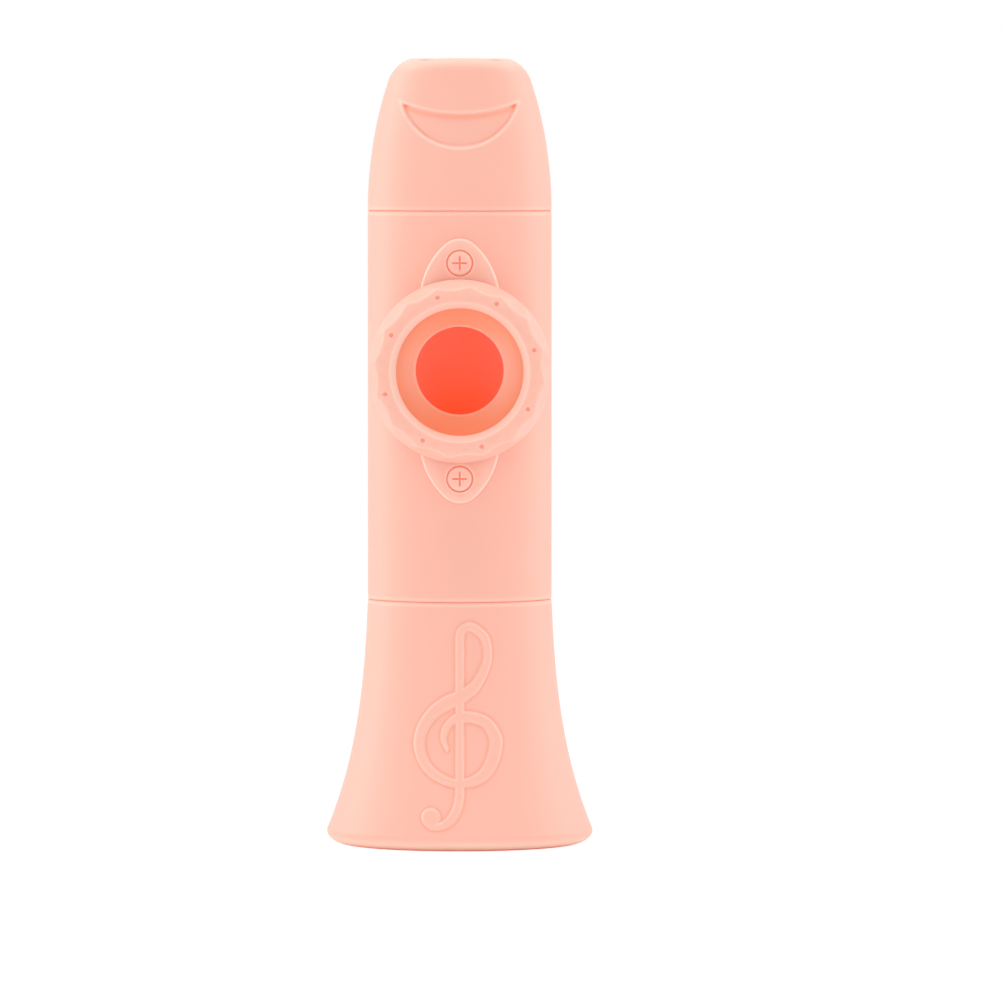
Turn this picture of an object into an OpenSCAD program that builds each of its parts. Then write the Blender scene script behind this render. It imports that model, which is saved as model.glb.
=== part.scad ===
// Kazoo: a round tube with a beaked mouthpiece, a flared bell and a membrane turret under a screw cap.
// Millimetres. The tube's axis is Z, the bell's rim rests on z = 0 and the turret faces -Y.

/* [Tube] */
// Length of the tube between its two seams
tube_h = 53.4; // [45:0.1:70]
// Outside diameter of the tube
tube_d = 25.3; // [22:0.1:30]
// Wall round the air bore
wall_t = 2.15; // [1.9:0.05:2.6]
// Edge break on each side of a seam
seam_break = 0.25; // [0.1:0.05:0.4]

/* [Spigots] */
// Length of the spigots that enter the tube's ends
spigot_l = 5; // [3:0.5:7]
// Wall of a spigot
spigot_t = 1; // [0.8:0.05:1.2]
// Radial clearance of a spigot in its socket
spigot_gap = 0.05; // [0.02:0.01:0.15]

/* [Bell] */
// Height of the bell up to its seam
bell_h = 33.8; // [28:0.1:42]
// Widest diameter of the bell
bell_d = 36.6; // [34:0.1:42]
// Thickness of the bell at its rim
rim_w = 3.1; // [2.9:0.1:4]
// Outside rounding of the rim
rim_r = 2.4; // [1.8:0.1:2.6]
// Edge break inside the rim
rim_break = 0.3; // [0.1:0.05:0.4]

/* [Treble clef] */
// Height of the clef's lowest point
clef_z = 3.2; // [3:0.1:4.5]
// Space between the clef's top and the seam
clef_margin = 2.5; // [2:0.1:4]
// How far the clef stands out of the bell
clef_rise = 0.45; // [0.2:0.05:0.8]

/* [Mouthpiece] */
// Height of the mouthpiece above its seam
mouth_h = 20.8; // [18:0.1:25]
// Radius of the curve that narrows its sides
taper_r = 59.2; // [50:0.2:90]
// Rounding of the top edge
mouth_edge_r = 2.2; // [1.5:0.1:2.6]
// Height above the seam at which the beak's cut starts on the back
beak_rise = 3.8; // [3:0.1:5]
// Radius of the beak's hollow cut
beak_r = 40; // [30:1:80]
// Wall in front of and behind the mouth slot
mouth_wall = 2.1; // [1.8:0.1:2.3]
// Length of the mouth slot
slot_w = 11; // [9:0.1:11.4]
// Width of the mouth slot, front to back
slot_t = 4.4; // [4.1:0.1:4.6]
// Edge break round the mouth slot
slot_break = 0.4; // [0.2:0.05:0.6]
// Width of the air chamber at its middle
chamber_w = 16.4; // [13:0.1:17]
// Depth of the air chamber at its middle, front to back
chamber_t = 11.2; // [9:0.1:11.5]
// Height of the air chamber's middle above the seam
chamber_rise = 9.8; // [8.5:0.1:11]

/* [Crescent recess] */
// Distance from the top down to the recess's lowest point
crescent_drop = 12.5; // [11.5:0.1:13.5]
// Height of the recess on the centre line
crescent_h = 5; // [3:0.1:5.5]
// Radius of its upper edge
crescent_top_r = 21.6; // [18:0.1:40]
// Radius of its lower edge
crescent_low_r = 8.2; // [7:0.1:8.6]
// Depth of the recess
crescent_depth = 0.8; // [0.4:0.05:1]

/* [Turret] */
// Distance from the upper ear's tip up to the mouthpiece's seam
ear_margin = 3.75; // [3:0.05:6]
// How far the plate's face stands proud of the tube
plate_rise = 0.95; // [0.8:0.05:1.5]
// How far an ear's tip reaches past the cap's foot
ear_reach = 5.55; // [5:0.05:7]
// Half width of an ear at its root
ear_half_w = 5.6; // [5:0.1:6.5]
// Radius of an ear's sides
ear_side_r = 10.6; // [10:0.1:12]
// Radius of an ear's tip
ear_tip_r = 2.4; // [2.2:0.1:2.8]
// Outside diameter of the neck under its thread
neck_d = 19.8; // [17:0.1:21]
// Wall of the neck round its well
neck_t = 0.9; // [0.7:0.05:1.1]
// Width of the cone that leads from the well into the sound hole
funnel_w = 2.9; // [2.2:0.1:3.4]
// Depth of that cone
funnel_h = 2.8; // [2:0.1:3.2]
// Wall of the sleeve that lines the sound hole through the tube
sleeve_t = 1.9; // [1.4:0.1:2.2]
// Clearance between the plate and the tube
seat_gap = 0.05; // [0.02:0.01:0.15]

/* [Thread] */
// Pitch of the cap's thread
pitch = 2; // [1.8:0.1:2.2]
// Height of both threads above their walls
thread_h = 0.55; // [0.3:0.05:0.6]
// Width of a thread at its root
thread_root = 1.1; // [0.8:0.05:1.15]
// Width of a thread at its crest
thread_crest = 0.65; // [0.4:0.05:0.75]
// Radial clearance between a thread's crest and the other wall
thread_gap = 0.2; // [0.15:0.01:0.25]
// Turns of each thread
thread_turns = 1.2; // [0.8:0.1:1.2]

/* [Cap] */
// Wall of the cap at its foot
cap_t = 1.85; // [1.6:0.05:2.6]
// How far the cap's side leans in between its foot and its front face
cap_lean = 0.8; // [0.4:0.05:1]
// Height of the cap
cap_h = 5.9; // [5.7:0.1:6.5]
// Height of the plain band at the cap's foot
cap_foot_h = 0.6; // [0.3:0.1:1]
// Clearance between the cap's foot and the plate
cap_stand = 0.5; // [0.3:0.1:0.8]
// Thickness of the cap's front lip
lip_t = 1.7; // [1.4:0.1:1.9]
// How far the cap's front lip reaches in over the neck's well
lip_reach = 0.35; // [0.2:0.05:1]
// Width of the bevel round the opening
bevel_w = 0.95; // [0.5:0.05:1]
// Number of lobes round the cap
lobes = 16; // [12:1:20]
// Depth of the hollows between the lobes at the front face
flute_depth = 0.5; // [0.3:0.05:0.6]
// Radius of the hollows between the lobes
flute_r = 7.6; // [5:0.1:12]
// Turn of the first lobe from the right-hand side
lobe_turn = 15.5; // [0:0.5:22]
// Number of dimples in the cap's face
dimples = 8; // [4:1:12]
// Diameter of a dimple
dimple_d = 0.55; // [0.4:0.05:0.7]
// Depth of a dimple
dimple_depth = 0.4; // [0.2:0.05:0.6]
// Distance from the lobes in to the circle of dimples
dimple_in = 1.15; // [1:0.05:1.25]

/* [Membrane] */
// Thickness of the membrane's film
film_t = 0.1; // [0.05:0.01:0.15]
// Thickness of the ring that stretches the film
ring_t = 0.5; // [0.3:0.05:0.6]
// Clearance on each side of the membrane, in its seat under the cap
membrane_gap = 0.05; // [0.02:0.01:0.1]

/* [Screws] */
// Distance from each ear's tip in to its screw
screw_in = 3.35; // [3:0.05:3.5]
// Diameter of a screw's head
head_d = 3.56; // [3:0.02:3.7]
// Thickness of a screw's head
head_t = 0.5; // [0.35:0.05:0.55]
// Clearance round a screw's head
head_gap = 0.2; // [0.1:0.02:0.24]
// Diameter of a screw's shank
shank_d = 1.6; // [1.2:0.1:2]
// Clearance round a screw's shank
shank_gap = 0.05; // [0.02:0.01:0.1]
// Length of the cross in a screw's head
cross_l = 2; // [1.6:0.1:2.4]
// Width of the cross's slots
cross_w = 0.26; // [0.2:0.02:0.4]
// Depth of the cross's slots
cross_depth = 0.3; // [0.15:0.05:0.3]

/* [Hidden] */
$fn = 120;
plastic = [0.988, 0.733, 0.667];
clear_film = [0.9, 0.9, 0.92, 0.5];

// How far a cut runs past the face that it opens
overrun = 1;

// Heights of the two seams and of the top
bell_seam_z = bell_h;
mouth_seam_z = bell_seam_z + tube_h;
total_h = mouth_seam_z + mouth_h;

tube_r = tube_d / 2;
bore_r = tube_r - wall_t;
spigot_r = bore_r + spigot_t;
socket_r = spigot_r + spigot_gap;

bell_r = bell_d / 2;
bell_mouth_r = bell_r - rim_w;
rim_centre_r = bell_r - rim_r;
// Radius of the bell's outside, which leaves the tube straight and ends on the rim's rounding
flare_step = rim_centre_r - tube_r;
flare_rise = bell_seam_z - rim_r;
flare_r = (flare_step ^ 2 + flare_rise ^ 2 - rim_r ^ 2) / (2 * (rim_r + flare_step));
// Radius of the bell's inside, which leaves the bore straight and ends at the rim
throat_step = bell_mouth_r - bore_r;
throat_r = (throat_step ^ 2 + bell_seam_z ^ 2) / (2 * throat_step);

clef_h = bell_seam_z - clef_margin - clef_z;
// Strokes of the clef: each point gives its place across from the stem, its height and the
// stroke's width there, as shares of the clef's height.
spiral_shares = [
    [-0.060, 0.385, 0.012], [-0.077, 0.430, 0.030], [-0.070, 0.480, 0.037], [-0.040, 0.522, 0.038],
    [0.000, 0.541, 0.050], [0.060, 0.541, 0.052], [0.125, 0.516, 0.053], [0.166, 0.458, 0.059],
    [0.175, 0.405, 0.063], [0.152, 0.317, 0.063], [0.100, 0.252, 0.055], [0.000, 0.223, 0.040],
    [-0.096, 0.250, 0.045], [-0.165, 0.310, 0.049], [-0.197, 0.402, 0.052], [-0.180, 0.488, 0.054],
    [-0.130, 0.560, 0.060], [-0.060, 0.610, 0.068], [0.018, 0.646, 0.064], [0.082, 0.702, 0.053],
    [0.125, 0.785, 0.047], [0.135, 0.852, 0.043], [0.116, 0.930, 0.045], [0.054, 0.978, 0.044],
    [0.010, 0.960, 0.043], [0.000, 0.910, 0.043]
];
stem_shares = [
    [0.000, 0.930, 0.043], [0.000, 0.560, 0.043], [0.000, 0.205, 0.043], [-0.004, 0.137, 0.042],
    [-0.018, 0.086, 0.040], [-0.043, 0.041, 0.035], [-0.083, 0.013, 0.024], [-0.120, 0.010, 0.016]
];
// Centre and radius of the ball that ends the clef's tail, as shares of its height
ball_share = [-0.139, 0.056];
ball_r_share = 0.047;
// Steps between two points of a stroke
stroke_steps = 3;

// Steps round the mouthpiece, up its sides and over its top edge
mouth_steps = 72;
side_steps = 9;
edge_steps = 5;
// The beak's thickness at the top, front to back
beak_t = slot_t + 2 * mouth_wall;
// Line through the two ends of the beak's cut, in the plane of the tube's axis
beak_low = [tube_r, mouth_seam_z + beak_rise];
beak_high = [beak_t - tube_r, total_h];
beak_run = beak_high - beak_low;
beak_half = norm(beak_run) / 2;
beak_out = [beak_run.y, -beak_run.x] / norm(beak_run);
beak_centre = (beak_low + beak_high) / 2 + beak_out * sqrt(beak_r ^ 2 - beak_half ^ 2);
slot_y = mouth_wall + slot_t / 2 - tube_r;
chamber_y = mouth_wall + chamber_t / 2 - tube_r;
chamber_z = mouth_seam_z + chamber_rise;
crescent_z = total_h - crescent_drop;

// Reaches along the turret's axis, from the tube's axis outward
plate_face = tube_r + plate_rise;
cap_foot = plate_face + cap_stand;
cap_face = cap_foot + cap_h;
lip_back = cap_face - lip_t;
ring_face = lip_back - membrane_gap;
ring_back = ring_face - ring_t;
neck_face = ring_back - film_t - membrane_gap;

neck_r = neck_d / 2;
well_r = neck_r - neck_t;
hole_r = well_r - funnel_w;
sleeve_r = hole_r + sleeve_t;
aperture_r = well_r - lip_reach;
cap_wall_r = neck_r + thread_h + thread_gap;
cap_r = cap_wall_r + cap_t;
cap_face_r = cap_r - cap_lean;
trough_r = cap_face_r - flute_depth;
dimple_ring_r = cap_face_r - dimple_in;
funnel_face = plate_face + cap_stand / 2;
funnel_back = funnel_face - funnel_h;
// Start of the plate's solid before the tube's curve is cut from it
plate_root = tube_r / 8;
// Middle of both threads' lower ends; the cap's starts half a turn on, so it runs between the neck's
thread_z = cap_foot + thread_root / 2;
thread_steps = 30;
// How deep a thread is rooted in its wall
thread_bite = thread_h / 2;
// Turn over which a thread's ends grow to their full height
thread_lead = 40;
film_r = neck_r;
ring_r = cap_wall_r - thread_h - membrane_gap * 2;
ring_bore_r = aperture_r + bevel_w / 3;

head_r = head_d / 2;
shank_r = shank_d / 2;
// The screws' tips stay behind the bore's wall
screw_tip = bore_r + seat_gap * 4;
plate_reach = cap_r + ear_reach;
screw_reach = plate_reach - screw_in;
turret_z = mouth_seam_z - ear_margin - plate_reach;
ear_tip_y = plate_reach - ear_tip_r;
ear_side_x = ear_side_r - ear_half_w;
// The height of an ear's sides' centres, at which they run into the rounded tip
ear_side_y = ear_tip_y - sqrt((ear_side_r - ear_tip_r) ^ 2 - ear_side_x ^ 2);
// Steps along each side of an ear and round its tip
ear_steps = 14;
// Turn at which a side runs into the tip
touch_turn = asin((ear_tip_y - ear_side_y) / (ear_side_r - ear_tip_r));
tip_step = (180 - 2 * touch_turn) / ear_steps;

// Puts a child in the turret's frame: +X right, +Y up and +Z out along the turret's axis
module at_turret()
    translate([0, 0, turret_z])
        rotate([90, 0, 0])
            children();

// The tube's own cylinder, in the turret's frame
module tube_in_turret(r)
    rotate([90, 0, 0])
        cylinder(r = r, h = 2 * plate_reach + overrun, center = true);

module body_tube() {
    color(plastic)
        difference() {
            rotate_extrude()
                tube_outline();
            translate([0, 0, bell_seam_z - overrun])
                cylinder(r = bore_r, h = mouth_seam_z - bell_seam_z + 2 * overrun);
            translate([0, 0, bell_seam_z - overrun])
                cylinder(r = socket_r, h = overrun + spigot_l + spigot_gap);
            translate([0, 0, mouth_seam_z - spigot_l - spigot_gap])
                cylinder(r = socket_r, h = overrun + spigot_l + spigot_gap);
            at_turret() {
                cylinder(r = sleeve_r + seat_gap, h = tube_r + overrun);
                for (side = [-1, 1])
                    translate([0, side * screw_reach, 0])
                        cylinder(r = shank_r + shank_gap, h = tube_r + overrun);
            }
        }
}

module tube_outline()
    polygon([
        [0, bell_seam_z], [tube_r - seam_break, bell_seam_z], [tube_r, bell_seam_z + seam_break],
        [tube_r, mouth_seam_z - seam_break], [tube_r - seam_break, mouth_seam_z], [0, mouth_seam_z]
    ]);

// Half section of the bell's outside, grown by the given amount
module bell_outline(grow = 0)
    difference() {
        square([bell_r + grow, bell_seam_z]);
        translate([tube_r + flare_r, bell_seam_z])
            circle(r = flare_r - grow, $fn = 256);
        difference() {
            translate([rim_centre_r, -overrun])
                square([rim_r + grow + overrun, rim_r + overrun]);
            translate([rim_centre_r, rim_r])
                circle(r = rim_r + grow);
        }
        translate([tube_r + grow - seam_break, bell_seam_z])
            polygon([
                [0, 0], [seam_break + overrun, 0], [seam_break + overrun, -seam_break - overrun]
            ]);
    }

// Half section of the air space in the bell and its spigot
module bell_hollow()
    difference() {
        translate([0, -overrun])
            square([bell_mouth_r + rim_break, bell_seam_z + spigot_l + 2 * overrun]);
        translate([bore_r + throat_r, bell_seam_z])
            circle(r = throat_r, $fn = 256);
        translate([bore_r, bell_seam_z])
            square([bell_mouth_r, spigot_l + 2 * overrun]);
        polygon([
            [bell_mouth_r, rim_break], [bell_mouth_r + rim_break, 0],
            [bell_mouth_r + rim_break + overrun, 0], [bell_mouth_r + rim_break + overrun, rim_break]
        ]);
    }

module bell() {
    color(plastic)
        difference() {
            union() {
                rotate_extrude()
                    bell_outline();
                translate([0, 0, bell_seam_z - overrun])
                    cylinder(r = spigot_r, h = spigot_l + overrun);
                intersection() {
                    rotate_extrude()
                        bell_outline(clef_rise);
                    translate([0, 0, clef_z])
                        rotate([90, 0, 0])
                            linear_extrude(bell_r + overrun)
                                clef();
                }
            }
            rotate_extrude()
                bell_hollow();
        }
}

// A point on the smooth curve through b and c, at share t of the way from b to c
function curve_point(a, b, c, d, t) =
    (2 * b + (c - a) * t + (2 * a - 5 * b + 4 * c - d) * t ^ 2 + (3 * b - a - 3 * c + d) * t ^ 3) / 2;

function curve(points) = let (last = len(points) - 1) [
    for (i = [0 : last - 1]) for (k = [0 : stroke_steps - 1])
        curve_point(points[max(i - 1, 0)], points[i], points[i + 1], points[min(i + 2, last)],
                    k / stroke_steps),
    points[last]
];

// The edge of a stroke on one side of its middle line
function stroke_edge(line, side) = let (last = len(line) - 1) [
    for (i = [0 : last])
        let (run = line[min(i + 1, last)] - line[max(i - 1, 0)], along = [run.x, run.y] / norm([run.x, run.y]))
            [line[i].x, line[i].y] + side * [-along.y, along.x] * line[i].z / 2
];

function backward(list) = [for (i = [len(list) - 1 : -1 : 0]) list[i]];

module stroke(shares) {
    line = curve(shares * clef_h);
    polygon(concat(stroke_edge(line, 1), backward(stroke_edge(line, -1))));
}

module clef() {
    stroke(spiral_shares);
    stroke(stem_shares);
    translate(ball_share * clef_h)
        circle(r = ball_r_share * clef_h, $fn = 48);
}

// How far the mouthpiece's sides have come in at height z
function taper(z) = taper_r - sqrt(taper_r ^ 2 - (z - mouth_seam_z) ^ 2);

// How far the top edge's rounding has come in at height z
function edge_inset(z) =
    let (up = max(z - total_h + mouth_edge_r, 0)) mouth_edge_r - sqrt(mouth_edge_r ^ 2 - up ^ 2);

// A level ring of the mouthpiece's outside, whose front keeps to the tube's front line
function mouth_ring(z, inset) =
    let (r = tube_r - taper(z) - inset) [
        for (i = [0 : mouth_steps - 1])
            let (turn = 360 * i / mouth_steps) [r * cos(turn), r * sin(turn) - taper(z), z]
    ];

side_top = total_h - mouth_edge_r;
side_low = mouth_seam_z + seam_break;
mouth_levels = concat(
    [for (i = [0 : side_steps]) side_low + (side_top - side_low) * i / side_steps],
    [for (i = [1 : edge_steps]) side_top + mouth_edge_r * sin(90 * i / edge_steps)]
);

// A closed skin through level rings of equal count
module skin(rings) {
    n = len(rings[0]);
    top = len(rings) - 1;
    polyhedron(
        [for (ring = rings) each ring],
        concat(
            [[for (i = [0 : n - 1]) i]],
            [for (k = [0 : top - 1]) for (i = [0 : n - 1])
                [k * n + i, (k + 1) * n + i, (k + 1) * n + (i + 1) % n]],
            [for (k = [0 : top - 1]) for (i = [0 : n - 1])
                [k * n + i, (k + 1) * n + (i + 1) % n, k * n + (i + 1) % n]],
            [[for (i = [n - 1 : -1 : 0]) top * n + i]]
        )
    );
}

module mouthpiece() {
    color(plastic)
        difference() {
            union() {
                skin(concat(
                    [mouth_ring(mouth_seam_z, seam_break)],
                    [for (z = mouth_levels) mouth_ring(z, edge_inset(z))]
                ));
                translate([0, 0, mouth_seam_z - spigot_l])
                    cylinder(r = spigot_r, h = spigot_l + overrun);
            }
            translate([-tube_r - overrun, beak_centre.x, beak_centre.y])
                rotate([0, 90, 0])
                    cylinder(r = beak_r, h = tube_d + 2 * overrun, $fn = 256);
            crescent();
            translate([0, 0, mouth_seam_z - spigot_l - overrun])
                cylinder(r = bore_r, h = spigot_l + overrun + seam_break);
            air_chamber();
        }
}

// The crescent's recess, as deep below the mouthpiece's skin all over
module crescent()
    difference() {
        rotate([90, 0, 0])
            linear_extrude(tube_r + overrun)
                difference() {
                    translate([0, crescent_z + crescent_low_r])
                        circle(r = crescent_low_r);
                    translate([0, crescent_z + crescent_h + crescent_top_r])
                        circle(r = crescent_top_r);
                }
        skin([
            for (i = [0 : side_steps])
                mouth_ring(crescent_z - overrun + (crescent_low_r + 2 * overrun) * i / side_steps, crescent_depth)
        ]);
    }

module slot_ends(w, t, y, z, h)
    for (side = [-1, 1])
        translate([side * (w - t) / 2, y, z])
            cylinder(d = t, h = h, $fn = 32);

// The air space from the spigot's bore up to the mouth slot
module air_chamber() {
    sliver = seam_break / 2;
    hull() {
        translate([0, 0, mouth_seam_z])
            cylinder(r = bore_r - seam_break, h = sliver, $fn = 48);
        slot_ends(chamber_w, chamber_t, chamber_y, chamber_z, sliver);
    }
    hull() {
        slot_ends(chamber_w, chamber_t, chamber_y, chamber_z, sliver);
        slot_ends(slot_w, slot_t, slot_y, total_h, overrun);
    }
    hull() {
        slot_ends(slot_w, slot_t, slot_y, total_h - slot_break, sliver);
        slot_ends(slot_w + 2 * slot_break, slot_t + 2 * slot_break, slot_y, total_h, sliver);
    }
}

function arc(centre, r, from, to, steps) = [
    for (i = [0 : steps])
        let (turn = from + (to - from) * i / steps) centre + r * [cos(turn), sin(turn)]
];

// The edge of the ear that points up, from right to left
ear_edge = concat(
    arc([-ear_side_x, ear_side_y], ear_side_r, 0, touch_turn, ear_steps),
    arc([0, ear_tip_y], ear_tip_r, touch_turn + tip_step, 180 - touch_turn - tip_step, ear_steps - 2),
    arc([ear_side_x, ear_side_y], ear_side_r, 180 - touch_turn, 180, ear_steps)
);

module plate_outline() polygon(concat(ear_edge, -ear_edge));

// A rib along a right-hand helix, rooted in a wall of radius wall_r; out is 1 to stand outward, -1 inward
module thread(wall_r, out) {
    steps = round(thread_steps * thread_turns);
    skin([
        for (i = [0 : steps])
            let (
                turn = 360 * thread_turns * i / steps,
                lead = min(1, turn / thread_lead, (360 * thread_turns - turn) / thread_lead),
                z = thread_z + pitch * turn / 360,
                root = wall_r - out * thread_bite,
                crest = wall_r + out * (thread_h * lead - thread_bite * (1 - lead) / 2),
                tip = thread_root / 2 - (thread_root - thread_crest) / 2 * lead,
                section = [[root, -thread_root / 2], [crest, -tip], [crest, tip], [root, thread_root / 2]]
            ) [
                for (p = out > 0 ? backward(section) : section)
                    [p.x * cos(turn), p.x * sin(turn), z + p.y]
            ]
    ]);
}

module turret_plate() {
    color(plastic)
        at_turret()
            difference() {
                union() {
                    difference() {
                        translate([0, 0, plate_root]) {
                            linear_extrude(plate_face - plate_root)
                                plate_outline();
                            cylinder(r = neck_r, h = neck_face - plate_root);
                        }
                        tube_in_turret(tube_r + seat_gap);
                    }
                    translate([0, 0, plate_root])
                        cylinder(r = sleeve_r, h = tube_r - plate_root);
                    thread(neck_r, 1);
                }
                rotate_extrude()
                    polygon([
                        [0, 0], [hole_r, 0], [hole_r, funnel_back], [well_r, funnel_face],
                        [well_r, neck_face + overrun], [0, neck_face + overrun]
                    ]);
                tube_in_turret(bore_r);
                for (side = [-1, 1])
                    translate([0, side * screw_reach, 0]) {
                        cylinder(r = shank_r + shank_gap, h = plate_face + overrun);
                        translate([0, 0, plate_face - head_t])
                            cylinder(r = head_r + head_gap, h = head_t + overrun);
                    }
            }
}

// A screw whose head lies in the plate's face, side 1 above the turret and -1 below it
module screw(side) {
    tip_h = shank_r / 2;
    color(plastic)
        at_turret()
            translate([0, side * screw_reach, 0])
                difference() {
                    union() {
                        translate([0, 0, plate_face - head_t])
                            cylinder(r = head_r, h = head_t);
                        translate([0, 0, screw_tip + tip_h])
                            cylinder(r = shank_r, h = plate_face - head_t - screw_tip - tip_h + head_t / 2);
                        translate([0, 0, screw_tip])
                            cylinder(r1 = shank_r / 2, r2 = shank_r, h = tip_h);
                    }
                    for (turn = [0, 90])
                        rotate([0, 0, turn])
                            translate([-cross_l / 2, -cross_w / 2, plate_face - cross_depth])
                                cube([cross_l, cross_w, cross_depth + overrun]);
                }
}

module upper_screw() screw(1);

module lower_screw() screw(-1);

module membrane() {
    color(clear_film)
        at_turret()
            translate([0, 0, ring_back - film_t])
                cylinder(r = film_r, h = film_t);
}

module membrane_ring() {
    color(plastic)
        at_turret()
            difference() {
                translate([0, 0, ring_back])
                    cylinder(r = ring_r, h = ring_t);
                translate([0, 0, ring_back - overrun])
                    cylinder(r = ring_bore_r, h = ring_t + 2 * overrun);
            }
}

// One tilted hollow in the cap's side: deepest at the front face, running out over the foot band
module flute() {
    foot_z = cap_foot + cap_foot_h;
    start_r = cap_r + seam_break / 4;
    lean = atan((start_r - trough_r) / (cap_face - foot_z));
    translate([start_r + flute_r / cos(lean), 0, foot_z])
        rotate([0, -lean, 0])
            translate([0, 0, -cap_foot_h])
                cylinder(r = flute_r, h = cap_h + 2 * cap_foot_h + overrun);
}

module cap() {
    bevel_z = cap_face - bevel_w;
    color(plastic)
        at_turret() {
            difference() {
                rotate_extrude()
                    polygon([
                        [0, cap_foot], [cap_r - seam_break, cap_foot], [cap_r, cap_foot + seam_break],
                        [cap_r, cap_foot + cap_foot_h], [cap_face_r + seam_break / 4, cap_face - seam_break],
                        [cap_face_r - seam_break, cap_face], [0, cap_face]
                    ]);
                for (i = [0 : lobes - 1])
                    rotate([0, 0, lobe_turn + 360 * (i + 0.5) / lobes])
                        flute();
                rotate_extrude()
                    polygon([
                        [0, cap_foot - overrun], [cap_wall_r, cap_foot - overrun], [cap_wall_r, lip_back],
                        [aperture_r, lip_back], [aperture_r, bevel_z], [aperture_r + bevel_w, cap_face],
                        [aperture_r + bevel_w, cap_face + overrun], [0, cap_face + overrun]
                    ]);
                for (i = [0 : dimples - 1])
                    rotate([0, 0, lobe_turn + 360 * i / dimples])
                        translate([dimple_ring_r, 0, cap_face - dimple_depth])
                            cylinder(d1 = dimple_d / 2, d2 = dimple_d, h = dimple_depth);
            }
            rotate([0, 0, 180])
                thread(cap_wall_r, -1);
        }
}

body_tube();
mouthpiece();
bell();
turret_plate();
upper_screw();
lower_screw();
membrane();
membrane_ring();
cap();
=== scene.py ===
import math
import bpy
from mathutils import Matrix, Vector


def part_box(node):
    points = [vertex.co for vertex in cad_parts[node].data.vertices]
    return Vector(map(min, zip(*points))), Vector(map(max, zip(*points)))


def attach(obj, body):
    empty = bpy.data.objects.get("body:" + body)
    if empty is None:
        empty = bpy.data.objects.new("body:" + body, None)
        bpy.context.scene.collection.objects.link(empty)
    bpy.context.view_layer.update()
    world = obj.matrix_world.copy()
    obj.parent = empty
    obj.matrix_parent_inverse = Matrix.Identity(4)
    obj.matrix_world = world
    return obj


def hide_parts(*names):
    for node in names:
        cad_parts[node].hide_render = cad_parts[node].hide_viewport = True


bl_info = {
    "name": "Kazoo",
    "version": (1, 0, 0),
    "blender": (4, 5, 0),
    "location": "View3D > Sidebar > Kazoo",
    "description": "Builds an upright plastic kazoo and the studio it stands in",
    "category": "Add Mesh",
}

import bmesh
import bpy
import numpy as np
from mathutils import Matrix, Vector

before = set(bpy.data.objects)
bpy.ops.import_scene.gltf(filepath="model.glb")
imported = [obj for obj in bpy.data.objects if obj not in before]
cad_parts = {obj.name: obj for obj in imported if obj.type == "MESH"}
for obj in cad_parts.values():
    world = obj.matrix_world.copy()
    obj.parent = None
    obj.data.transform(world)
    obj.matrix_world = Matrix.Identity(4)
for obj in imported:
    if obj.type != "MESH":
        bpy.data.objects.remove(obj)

# Every shape is worked out in millimetres and brought to metres when it is finished.
MM = 0.001
TURN = 2 * math.pi


class Span:
    """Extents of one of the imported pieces, in millimetres, in the shared frame."""

    def __init__(self, node):
        low, high = (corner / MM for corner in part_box(node))
        self.radius = high.x
        self.low, self.high = low.z, high.z
        self.back, self.front = -high.y, -low.y


TUBE, BELL, CAP, PLATE = (Span(node) for node in ("body_tube", "bell", "cap", "turret_plate"))
FILM, RING, SCREW = (Span(node) for node in ("membrane", "membrane_ring", "upper_screw"))
TOP = Span("mouthpiece").high
SPIGOT_L = BELL.high - TUBE.low
# Height of the turret's axis, and the plate's reach and the screws' distance from it
TURRET_Z = (CAP.low + CAP.high) / 2
PLATE_REACH = PLATE.high - TURRET_Z
SCREW_UP = (SCREW.low + SCREW.high) / 2 - TURRET_Z
# Radius of the bore, and the outer and inner walls of the joints between the three sections
BORE_R = 10.5
SPIGOT_R = 11.5
SOCKET_R = 11.55
FIT = 0.05
# Points farther out than this are on the outside of the three sections
SKIN_R = SPIGOT_R + 0.2
# Radii of the turret's well, of the tube's hole for the sleeve, and of the screws' holes
WELL_R = 9.0
SLEEVE_HOLE_R = 8.05
SHANK_HOLE_R = 0.85

# Strokes of the treble clef: place across from the stem, height and width, as shares of its height
SPIRAL = [
    (-0.06, 0.385, 0.02), (-0.077, 0.43, 0.03), (-0.07, 0.48, 0.037), (-0.04, 0.522, 0.038),
    (0.0, 0.541, 0.05), (0.06, 0.541, 0.052), (0.125, 0.516, 0.053), (0.166, 0.458, 0.059),
    (0.175, 0.405, 0.063), (0.152, 0.317, 0.063), (0.1, 0.252, 0.055), (0.0, 0.223, 0.04),
    (-0.096, 0.25, 0.045), (-0.165, 0.31, 0.049), (-0.197, 0.402, 0.052), (-0.18, 0.488, 0.054),
    (-0.13, 0.56, 0.06), (-0.06, 0.61, 0.068), (0.018, 0.646, 0.064), (0.082, 0.702, 0.053),
    (0.125, 0.785, 0.044), (0.136, 0.852, 0.041), (0.117, 0.93, 0.042), (0.054, 0.979, 0.042),
    (0.01, 0.96, 0.043), (0.0, 0.91, 0.043),
]
STEM = [
    (0.0, 0.93, 0.043), (0.0, 0.56, 0.043), (0.0, 0.205, 0.044), (-0.003, 0.15, 0.045),
    (-0.012, 0.105, 0.046), (-0.03, 0.068, 0.046), (-0.06, 0.036, 0.042), (-0.098, 0.019, 0.034),
    (-0.135, 0.016, 0.028), (-0.165, 0.032, 0.02),
]
BALL = (-0.139, 0.059, 0.047)
# Level of the clef's foot, and the clef's height, which ends a little below the seam
CLEF_FOOT = 3.0
CLEF_H = TUBE.low - 2.7 - CLEF_FOOT


def length(name, description, default, low, high):
    """A small size, given in millimetres."""
    return bpy.props.FloatProperty(
        name=name, description=description, default=default * MM, min=low * MM, max=high * MM,
        subtype="DISTANCE", unit="LENGTH")


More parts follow.
